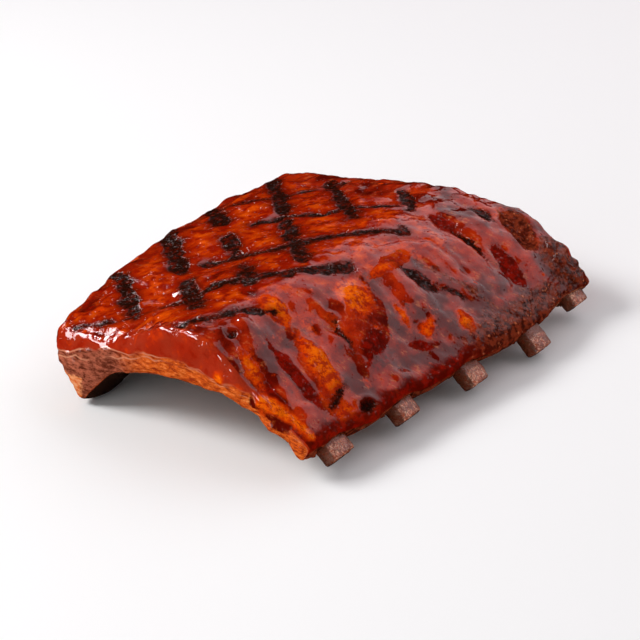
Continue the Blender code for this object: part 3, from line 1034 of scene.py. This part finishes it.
    forms: tuple[Feature, ...] = (
        Feature(Stroke(5.0, ((-59.5, -31.0), (-62.5, -40.0), (-64.5, -50.0), (-64.5, -62.0))), 1.1, 2.9),
        Feature(Patch(-47.5, -52.0, 10.0, 4.5, 80.0), 0.9, 2.2),
        Feature(Stroke(1.0, ((-31.5, -33.5), (-30.5, -37.0), (-29.3, -41.5))), 1.1, 0.9),
        Feature(Stroke(1.4, ((-33.0, -38.0), (-32.7, -43.0), (-31.5, -48.5), (-29.8, -56.0))), -1.0, 1.2),
        Feature(Patch(-19.0, -46.0, 15.0, 9.0, 45.0), 1.2, 3.2),
        Feature(
            Stroke(1.0, ((9.5, -23.2), (21.5, -24.5), (29.5, -29.6), (32.0, -37.0), (33.5, -55.0))), -0.8, 1.1
        ),
        Feature(Stroke(2.2, ((21.0, -27.5), (27.0, -32.0), (29.0, -39.0), (29.5, -52.0))), 0.5, 1.6),
        Feature(Stroke(0.9, ((-71.5, -45.0), (-69.5, -53.0), (-67.5, -60.0), (-66.5, -66.5))), -0.8, 1.0),
        Feature(Patch(47.5, -23.0, 7.0, 4.2, 75.0), -0.9, 1.8),
        Feature(Patch(46.5, -37.0, 8.5, 2.4, 88.0), -0.8, 1.4),
        Feature(Patch(52.5, -49.5, 8.5, 4.6, 82.0), -0.7, 2.0),
        Feature(Patch(56.5, -30.0, 9.0, 4.0, 85.0), 0.7, 3.0),
        Feature(Patch(71.5, -38.5, 10.0, 5.5, 70.0), -1.1, 1.6),
        Feature(Patch(-66.8, -32.8, 3.2, 2.8), 0.7, 1.0),
        Feature(Patch(-66.8, -32.8, 1.5, 1.3), -1.4, 0.7),
        Feature(Patch(-41.0, -67.0, 4.6, 3.2), 0.7, 0.9),
        Feature(Patch(-41.0, -67.0, 2.6, 1.4), -2.0, 0.8),
        Feature(Patch(16.0, -60.5, 4.5, 3.2, 80.0), 0.7, 1.5),
        Feature(Patch(-46.5, -33.0, 7.0, 4.5, 80.0), 0.5, 1.8),
        Feature(Patch(7.7, 16.3, 2.4, 2.2), 1.2, 1.5),
        Feature(Stroke(2.6, ((-60.5, 19.0), (-52.0, 15.0), (-45.0, 11.5), (-38.0, 12.0))), 1.5, 2.3),
        Feature(Stroke(2.4, ((43.0, 13.0), (49.0, 6.5))), 1.3, 2.0),
        Feature(Stroke(2.8, ((24.5, -8.5), (29.5, -14.5))), 1.2, 2.2),
        Feature(Patch(-11.0, -17.0, 4.2, 2.8, 120.0), 1.1, 1.8),
        Feature(Patch(-24.3, -20.7, 3.6, 2.6), 1.1, 1.8),
    )

    def build(self, bones: list[bpy.types.Object]) -> bpy.types.Object:
        """Model the slab and store its finish areas.

        Args:
            bones: the finished bones, whose tunnels stay as they are.

        Returns:
            The finished slab.
        """
        piece = copy_of_node(self.node, self.name)
        apply_modifier(piece, "REMESH", mode="VOXEL", voxel_size=self.cell, use_smooth_shade=True)
        places = places_of(piece)
        edges = edges_of(piece)
        free = averaged(self._clear_of_bones(places, bones), edges, 2)
        plain = averaged(places, edges, self.smoothing)
        places = places + (plain - places) * free[:, None]
        move_to(piece, places)
        normals = normals_of(piece)
        broad_normals = averaged(normals, edges, self.broad_smoothing)
        broad_normals /= np.linalg.norm(broad_normals, axis=1, keepdims=True)
        areas = self._areas(places / MILLIMETRE, broad_normals)
        relief = averaged(self._relief(places / MILLIMETRE, areas), edges, 1)
        places = places + normals * (relief * free * MILLIMETRE)[:, None]
        places[:, 2] -= np.min(places[:, 2])
        move_to(piece, places)
        for name, values in areas.items():
            write_attribute(piece, name, values)
        triangles_now = 2.0 * len(piece.data.polygons)
        apply_modifier(piece, "DECIMATE", ratio=self.triangles / triangles_now)
        move_to(piece, np.clip(places_of(piece), np.array(cad_box[0]), np.array(cad_box[1])))
        return piece

    def _clear_of_bones(self, places: np.ndarray, bones: list[bpy.types.Object]) -> np.ndarray:
        """One where the slab may change, nought on the tunnels that hold the bones.

        Args:
            places: the slab's vertices, in metres.
            bones: the bones.

        Returns:
            A share for each vertex.
        """
        gap = np.full(len(places), self.bone_margin[1])
        for bone in bones:
            corners = [vertex.co for vertex in bone.data.vertices]
            tree = BVHTree.FromPolygons(corners, [tuple(face.vertices) for face in bone.data.polygons])
            low = np.min(np.array(corners), axis=0) - self.bone_margin[1]
            high = np.max(np.array(corners), axis=0) + self.bone_margin[1]
            near = np.nonzero(np.all((places > low) & (places < high), axis=1))[0]
            for index in near:
                found = tree.find_nearest(Vector(places[index]), self.bone_margin[1])
                if found[3] is not None:
                    gap[index] = min(gap[index], found[3])
        return smooth_step(*self.bone_margin, gap)

    @staticmethod
    def _wander(places: np.ndarray, size: float, octaves: int) -> np.ndarray:
        """Noise in plan that draws outlines out of true.

        Args:
            places: the vertices, in millimetres.
            size: the spacing of the noise, in millimetres.
            octaves: how many sizes of noise.

        Returns:
            Shares along and across, from about -1 to 1.
        """
        return np.column_stack([Grain.rough(places, size, octaves, seed) for seed in (5, 9)])

    def _areas(self, places: np.ndarray, normals: np.ndarray) -> dict[str, np.ndarray]:
        """The areas of the finish.

        Args:
            places: the vertices, in millimetres.
            normals: the broad outward directions.

        Returns:
            One number for each vertex and area.
        """
        x, y, z = places.T
        plan = places[:, :2]
        along = x + self.slant * (y - self.tip_line)
        wander = self._wander(places, 6.0, 2)
        near_face = smooth_step(0.45, 0.75, -normals[:, 0])
        far_face = smooth_step(0.45, 0.75, normals[:, 0])
        no_face = 1.0 - near_face - far_face
        top = smooth_step(0.05, 0.40, normals[:, 2])
        under = smooth_step(-0.15, -0.55, normals[:, 2])
        off_top = (1.0 - top) * FAR_OUT
        # the loin edge: less roast and a dark pool colour, for thick glaze and painted shade
        loin_edge = smooth_step(-2.0, 2.0, self.loin_edge.inside(plan + 2.5 * wander))
        roast = self._roasted(y, along, wander) * (1.0 - 0.7 * loin_edge)
        tips = smooth_step(-52.0, -66.0, y + 2.5 * wander[:, 0]) * smooth_step(-15.0, 30.0, along)
        torn = smooth_step(-3.0, 2.5, deepest(self.torn_spots, plan + 1.5 * wander))
        stray = Grain.rough(places, 5.5, 3, 77)
        warm = smooth_step(-3.0, 4.0, deepest(self.warm_spots, plan + 1.2 * wander))
        warm = np.maximum(warm, smooth_step(0.50, 0.80, stray) * 0.5)
        dry = deepest(self.dry_spots, plan + 1.2 * wander)
        dry = np.maximum(dry, np.minimum(5.0 * (stray - 0.82), 1.0))
        pooled = smooth_step(-2.5, 2.5, deepest(self.pools, plan + 1.2 * wander)) * top
        knob_glow = 2.2 - 0.8 * np.linalg.norm(places - self.near_knob_glow, axis=1)
        outer = y - self.foot_edge - 0.15 * (12.0 - z)
        foot = smooth_step(6.0, 13.0, y) * smooth_step(22.0, 12.0, z)
        leg = smooth_step(-14.0, 18.0, y + 3.0 * wander[:, 0])
        near_skin = z - np.interp(y, *zip(*self.skin_line))
        return {
            "char": self._charred(places, plan + 1.5 * wander) - off_top,
            "warm": warm * top,
            "dry": dry - off_top,
            # pools, and the loin edge darker as thick glaze and painted shade
            "deep": np.maximum(pooled, 0.55 * loin_edge),
            "roast": roast * top + smooth_step(0.6, 0.9, normals[:, 1]) * 0.6,
            "crust": np.maximum(torn, 0.75 * tips) * (1.0 - under),
            "cut": near_face + far_face,
            "skin": near_skin * near_face
            + self._above_far_skin(y, z, far_face) * far_face
            + self.above_all * no_face,
            "leg": near_face * leg + far_face * smooth_step(-0.5, 0.7, wander[:, 1]) * 0.9,
            "bit": np.minimum(outer, 12.0 - z) * near_face - self.above_all * (1.0 - near_face),
            # painted shade towards the lower front
            "shade": smooth_step(-44.0, -60.0, y) * smooth_step(-42.0, -20.0, x),
            # painted highlight along the near corner's ridge, and a painted glow on the knob
            "strip": np.maximum(self.strip.inside(plan + 0.8 * wander) - self.above_all * under, knob_glow),
            "groove": self.groove.inside(plan + 0.8 * wander) - self.above_all * under,
            # the foot's inner underside, turned to -Y under the arch: marked for char and painted shade
            "foot": foot * smooth_step(0.15, -0.15, normals[:, 1]),
            "lip": smooth_step(-59.0, -68.5, y + 0.35 * (z - 10.0) + 2.0 * wander[:, 0]),
            "under": under * (1.0 - near_face) * (1.0 - far_face),
        }

    def _charred(self, places: np.ndarray, drawn: np.ndarray) -> np.ndarray:
        """How far inside the grill marks and charred spots each place is.

        Args:
            places: the vertices, in millimetres.
            drawn: their places in plan, drawn out of true.

        Returns:
            Depths in millimetres, less than nought outside.
        """
        faint = smooth_step(0.15, -0.45, Grain.rough(places, 9.0, 2, 21))
        faint_long = smooth_step(0.2, -0.4, Grain.rough(places, 7.0, 2, 33))
        marks = deepest(self.grill_long, drawn) - 1.2 * faint_long
        marks = np.maximum(deepest(self.grill_cross, drawn) - 1.4 * faint, marks)
        return np.maximum(marks, deepest(self.char_spots, drawn))

    def _roasted(self, y: np.ndarray, along: np.ndarray, wander: np.ndarray) -> np.ndarray:
        """How roasted the meat is: all over the loin's half, fading at both its ends.

        Args:
            y: how far across the rack each vertex is, in millimetres.
            along: how far along the slanted rack it is, in millimetres.
            wander: noise for each vertex.

        Returns:
            Shares from nought to one.
        """
        ridge = y - self.ridge_line + 0.10 * (along + 70.0)
        roasted = smooth_step(-3.0, 6.0, ridge) * (1.0 - smooth_step(30.0, 62.0, along - 0.25 * ridge))
        return roasted * smooth_step(-69.5, -63.0, along + 1.5 * wander[:, 0])

    def _above_far_skin(self, y: np.ndarray, z: np.ndarray, far_face: np.ndarray) -> np.ndarray:
        """The height above a skin line that follows the far cut end's upper edge.

        Args:
            y: how far across the rack each vertex is, in millimetres.
            z: its height, in millimetres.
            far_face: one on the far cut end.

        Returns:
            Heights in millimetres.
        """
        middles = np.arange(-78.0, 79.0, self.far_columns)
        column = np.round((y - middles[0]) / self.far_columns).astype(int)
        crest = np.zeros(len(middles))
        np.maximum.at(crest, np.clip(column, 0, len(middles) - 1), np.where(far_face > 0.3, z, 0.0))
        return z - np.interp(y, middles, crest) + self.far_band

    def _relief(self, places: np.ndarray, areas: dict[str, np.ndarray]) -> np.ndarray:
        """How far each vertex stands out from the smooth form, in millimetres.

        Args:
            places: the vertices, in millimetres.
            areas: the finish areas.

        Returns:
            One height for each vertex.
        """
        plan = places[:, :2]
        drawn = plan + 1.3 * self._wander(places, 5.0, 3)
        roast = np.clip(areas["roast"], 0.0, 1.0)
        crust, under, cut, skin = (areas[name] for name in ("crust", "under", "cut", "skin"))
        char = smooth_step(-0.8, 0.8, areas["char"])
        dry = smooth_step(-0.4, 0.6, areas["dry"])
        glazed = (1.0 - under) * (1.0 - 0.5 * roast)
        relief = 0.85 * Grain.rough(places, 7.5, 2, 3) * glazed + 0.4 * Grain.rough(places, 9.0, 2, 3)
        relief += 0.22 * Grain.hills(places, 3.0, 41) * glazed
        relief += 0.12 * Grain.rough(places * (0.3, 1.0, 1.0), 3.6, 2, 7) * roast
        relief += char * (-0.35 + 0.25 * Grain.rough(places, 1.6, 2, 13)) * (1.0 - 0.6 * crust)
        relief += dry * 0.14 * Grain.rough(places, 1.9, 2, 15)
        nodules = 0.5 - Grain.pebbles(places, 3.6, 19)
        relief += crust * (1.7 * nodules + 0.6 * Grain.rough(places, 1.9, 2, 23))
        over = 1.0 - np.maximum(under, cut)
        for form in self.forms:
            relief += form.relief(drawn) * over
        relief += 0.7 * smooth_step(-1.2, 2.0, areas["strip"])
        relief -= 1.1 * smooth_step(-0.8, 0.8, areas["groove"])
        relief += 0.5 * smooth_step(-1.2, 0.7, self.rim.inside(plan)) * (1.0 - under)
        strands = Grain.rough(places * (1.0, 0.55, 1.1), 2.4, 3, 27)
        relief += cut * 0.55 * strands * smooth_step(0.5, -1.5, skin)
        not_leg = 1.0 - np.clip(areas["leg"], 0.0, 1.0)
        relief += cut * 0.9 * smooth_step(-1.5, 4.0, skin) * not_leg
        relief += cut * 0.4 * np.exp(-((skin + 1.2 * strands) / 0.9) ** 2)
        return relief


# The rib bones


@dataclass
class RibBone:
    """One rib bone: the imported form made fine, with worn edges and a cracked skin."""

    number: int
    cell: float = 0.0005
    wear: float = 0.22
    rounding: int = 11
    worn_length: tuple[float, float] = (0.016, 0.010)
    root_length: tuple[float, float] = (0.0026, 0.0050)

    @property
    def node(self) -> str:
        """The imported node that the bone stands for."""
        return f"bone_{self.number}"

    def build(self) -> bpy.types.Object:
        """Model the bone and store its finish areas.

        Returns:
            The finished bone.
        """
        piece = copy_of_node(self.node, f"rib_{self.number}")
        apply_modifier(piece, "REMESH", mode="VOXEL", voxel_size=self.cell, use_smooth_shade=True)
        places = places_of(piece)
        edges = edges_of(piece)
        tip = np.min(places[:, 1])
        worn = smooth_step(*self.worn_length, places[:, 1] - tip)
        rounded = averaged(places, edges, self.rounding)
        places = places + (rounded - places) * worn[:, None]
        move_to(piece, places)
        normals = normals_of(piece)
        # areas for painted shade: faces turned down at the tip end, and faces turned to -X
        forward, left, down = -averaged(normals, edges, 3)[:, (1, 0, 2)].T
        end = smooth_step(0.25, 0.55, down) * smooth_step(0.1, 0.4, forward)
        write_attribute(piece, "end", end * worn)
        write_attribute(piece, "side", smooth_step(0.35, 0.7, left) * worn)
        write_attribute(piece, "root", smooth_step(*self.root_length, places[:, 1] - tip))
        points = places / MILLIMETRE
        relief = Grain.rough(points * (1.0, 0.4, 1.0), 2.2, 3, 50 + self.number) - 0.4
        relief += 0.8 * (0.45 - Grain.pebbles(points, 1.5, 60 + self.number))
        move_to(piece, places + normals * (relief * self.wear * worn * MILLIMETRE)[:, None])
        return piece


# The studio


class Side(Enum):
    """Where a studio light stands: its azimuth from +X towards +Y and its elevation, in degrees."""

    WINDOW = (-12.0, 40.0)
    KEY = (135.0, 42.0)
    RIM = (128.0, 33.0)
    GLINT = (105.0, 60.0)
    FILL = (-165.0, 25.0)


@dataclass(frozen=True)
class SoftLight:
    """A flat soft light that faces the rack, seen in the glaze, on the matt parts or in both."""

    side: Side
    distance: float
    width: float
    height: float
    radiance: float
    tint: Colour = (1.0, 1.0, 1.0)
    in_glaze: bool = True
    on_matt: bool = True

    def build(self) -> None:
        """Add the light to the scene."""
        azimuth, elevation = map(math.radians, self.side.value)
        away = Vector(
            (
                math.cos(azimuth) * math.cos(elevation),
                math.sin(azimuth) * math.cos(elevation),
                math.sin(elevation),
            )
        )
        data = bpy.data.lights.new(self.side.name.lower(), "AREA")
        data.shape = "RECTANGLE"
        data.size = self.width
        data.size_y = self.height
        data.color = self.tint
        data.energy = self.radiance * self.width * self.height * math.pi
        light = bpy.data.objects.new(data.name, data)
        bpy.context.scene.collection.objects.link(light)
        light.location = away * self.distance
        light.rotation_euler = away.to_track_quat("Z", "Y").to_euler()
        light.visible_glossy = self.in_glaze
        light.visible_diffuse = self.on_matt


@dataclass
class Studio:
    """A plain pale floor, soft lights and the camera of the photograph."""

    lights: tuple[SoftLight, ...] = (
        SoftLight(Side.WINDOW, 1.1, 2.3, 1.2, 0.95, (1.0, 0.91, 0.96)),
        SoftLight(Side.KEY, 1.2, 0.60, 0.40, 14.6, in_glaze=False),
        SoftLight(Side.RIM, 1.2, 2.00, 0.28, 15.5, (1.0, 0.93, 0.95), on_matt=False),
        SoftLight(Side.GLINT, 1.2, 0.24, 0.20, 55.0, (1.0, 0.94, 0.95), on_matt=False),
        SoftLight(Side.FILL, 1.5, 1.2, 1.2, 1.1, in_glaze=False),
    )
    floor_size: float = 12.0
    camera_place: tuple[float, float, float] = (-0.384535, -0.389089, 0.279646)
    camera_azimuth: float = -47.497
    camera_elevation: float = 28.202
    lean: float = math.radians(1.4)
    focal_pixels: float = 1700.0
    image_pixels: float = 640.0
    aim_offset: tuple[float, float] = (-50.07, 24.94)
    daylight: float = 1.0
    ambience: float = 0.22

    def build(self) -> None:
        """Add the floor, the lights, the world and the camera."""
        self._floor()
        for light in self.lights:
            light.build()
        self._world()
        self._camera()
        bpy.context.scene.view_settings.view_transform = "Standard"

    def _floor(self) -> None:
        """Add the floor."""
        bpy.ops.object.select_all(action="DESELECT")
        bpy.ops.mesh.primitive_plane_add(size=self.floor_size, location=(0.0, 0.0, 0.0))
        floor = bpy.context.object
        floor.name = "floor"
        floor.data.materials.append(PaleFloor().material())
        floor.visible_glossy = False

    def _world(self) -> None:
        """Make the surroundings pale to the camera and dim to the glaze."""
        world = bpy.data.worlds.new("studio")
        bpy.context.scene.world = world
        world.use_nodes = True
        tree = world.node_tree
        background = tree.nodes["Background"]
        rays = tree.nodes.new("ShaderNodeLightPath")
        matt = tree.nodes.new("ShaderNodeMath")
        matt.operation = "MULTIPLY"
        tree.links.new(rays.outputs["Is Diffuse Ray"], matt.inputs[0])
        matt.inputs[1].default_value = self.ambience
        seen = tree.nodes.new("ShaderNodeMath")
        seen.operation = "MULTIPLY_ADD"
        tree.links.new(rays.outputs["Is Camera Ray"], seen.inputs[0])
        seen.inputs[1].default_value = self.daylight
        tree.links.new(matt.outputs[0], seen.inputs[2])
        tree.links.new(seen.outputs[0], background.inputs["Strength"])
        background.inputs["Color"].default_value = (1.0, 1.0, 1.0, 1.0)

    def _camera(self) -> None:
        """Add the camera at the photograph's viewing angle."""
        azimuth = math.radians(self.camera_azimuth)
        elevation = math.radians(self.camera_elevation)
        lean = Matrix.Rotation(self.lean, 3, "X")
        back = Vector(
            (
                math.sin(azimuth) * math.cos(elevation),
                -math.cos(azimuth) * math.cos(elevation),
                math.sin(elevation),
            )
        )
        right = Vector((math.cos(azimuth), math.sin(azimuth), 0.0))
        upward = back.cross(right)
        aim = -back + right * (self.aim_offset[0] / self.focal_pixels)
        aim += upward * (self.aim_offset[1] / self.focal_pixels)
        aim = lean @ aim.normalized()
        sideways = aim.cross(lean @ upward).normalized()
        axes = Matrix((sideways, sideways.cross(aim), -aim)).transposed()
        data = bpy.data.cameras.new("camera")
        data.sensor_width = 36.0
        data.lens = self.focal_pixels / self.image_pixels * data.sensor_width
        data.clip_start = 0.05
        data.clip_end = 40.0
        camera = bpy.data.objects.new("camera", data)
        bpy.context.scene.collection.objects.link(camera)
        camera.matrix_world = Matrix.Translation(self.camera_place) @ axes.to_4x4()
        bpy.context.scene.camera = camera


def main() -> None:
    """Build the bones, the meat and the studio."""
    logging.basicConfig(level=logging.INFO, format="%(message)s")
    Studio().build()
    bone_finish = RoastedBone().material()
    meat_finish = GlazedMeat().material()
    bones = []
    for number in range(1, 6):
        bone = RibBone(number)
        piece = bone.build()
        dress(piece, bone_finish, bone.node)
        bones.append(piece)
    slab = MeatSlab()
    dress(slab.build(bones), meat_finish, slab.node)


if __name__ == "__main__":
    main()
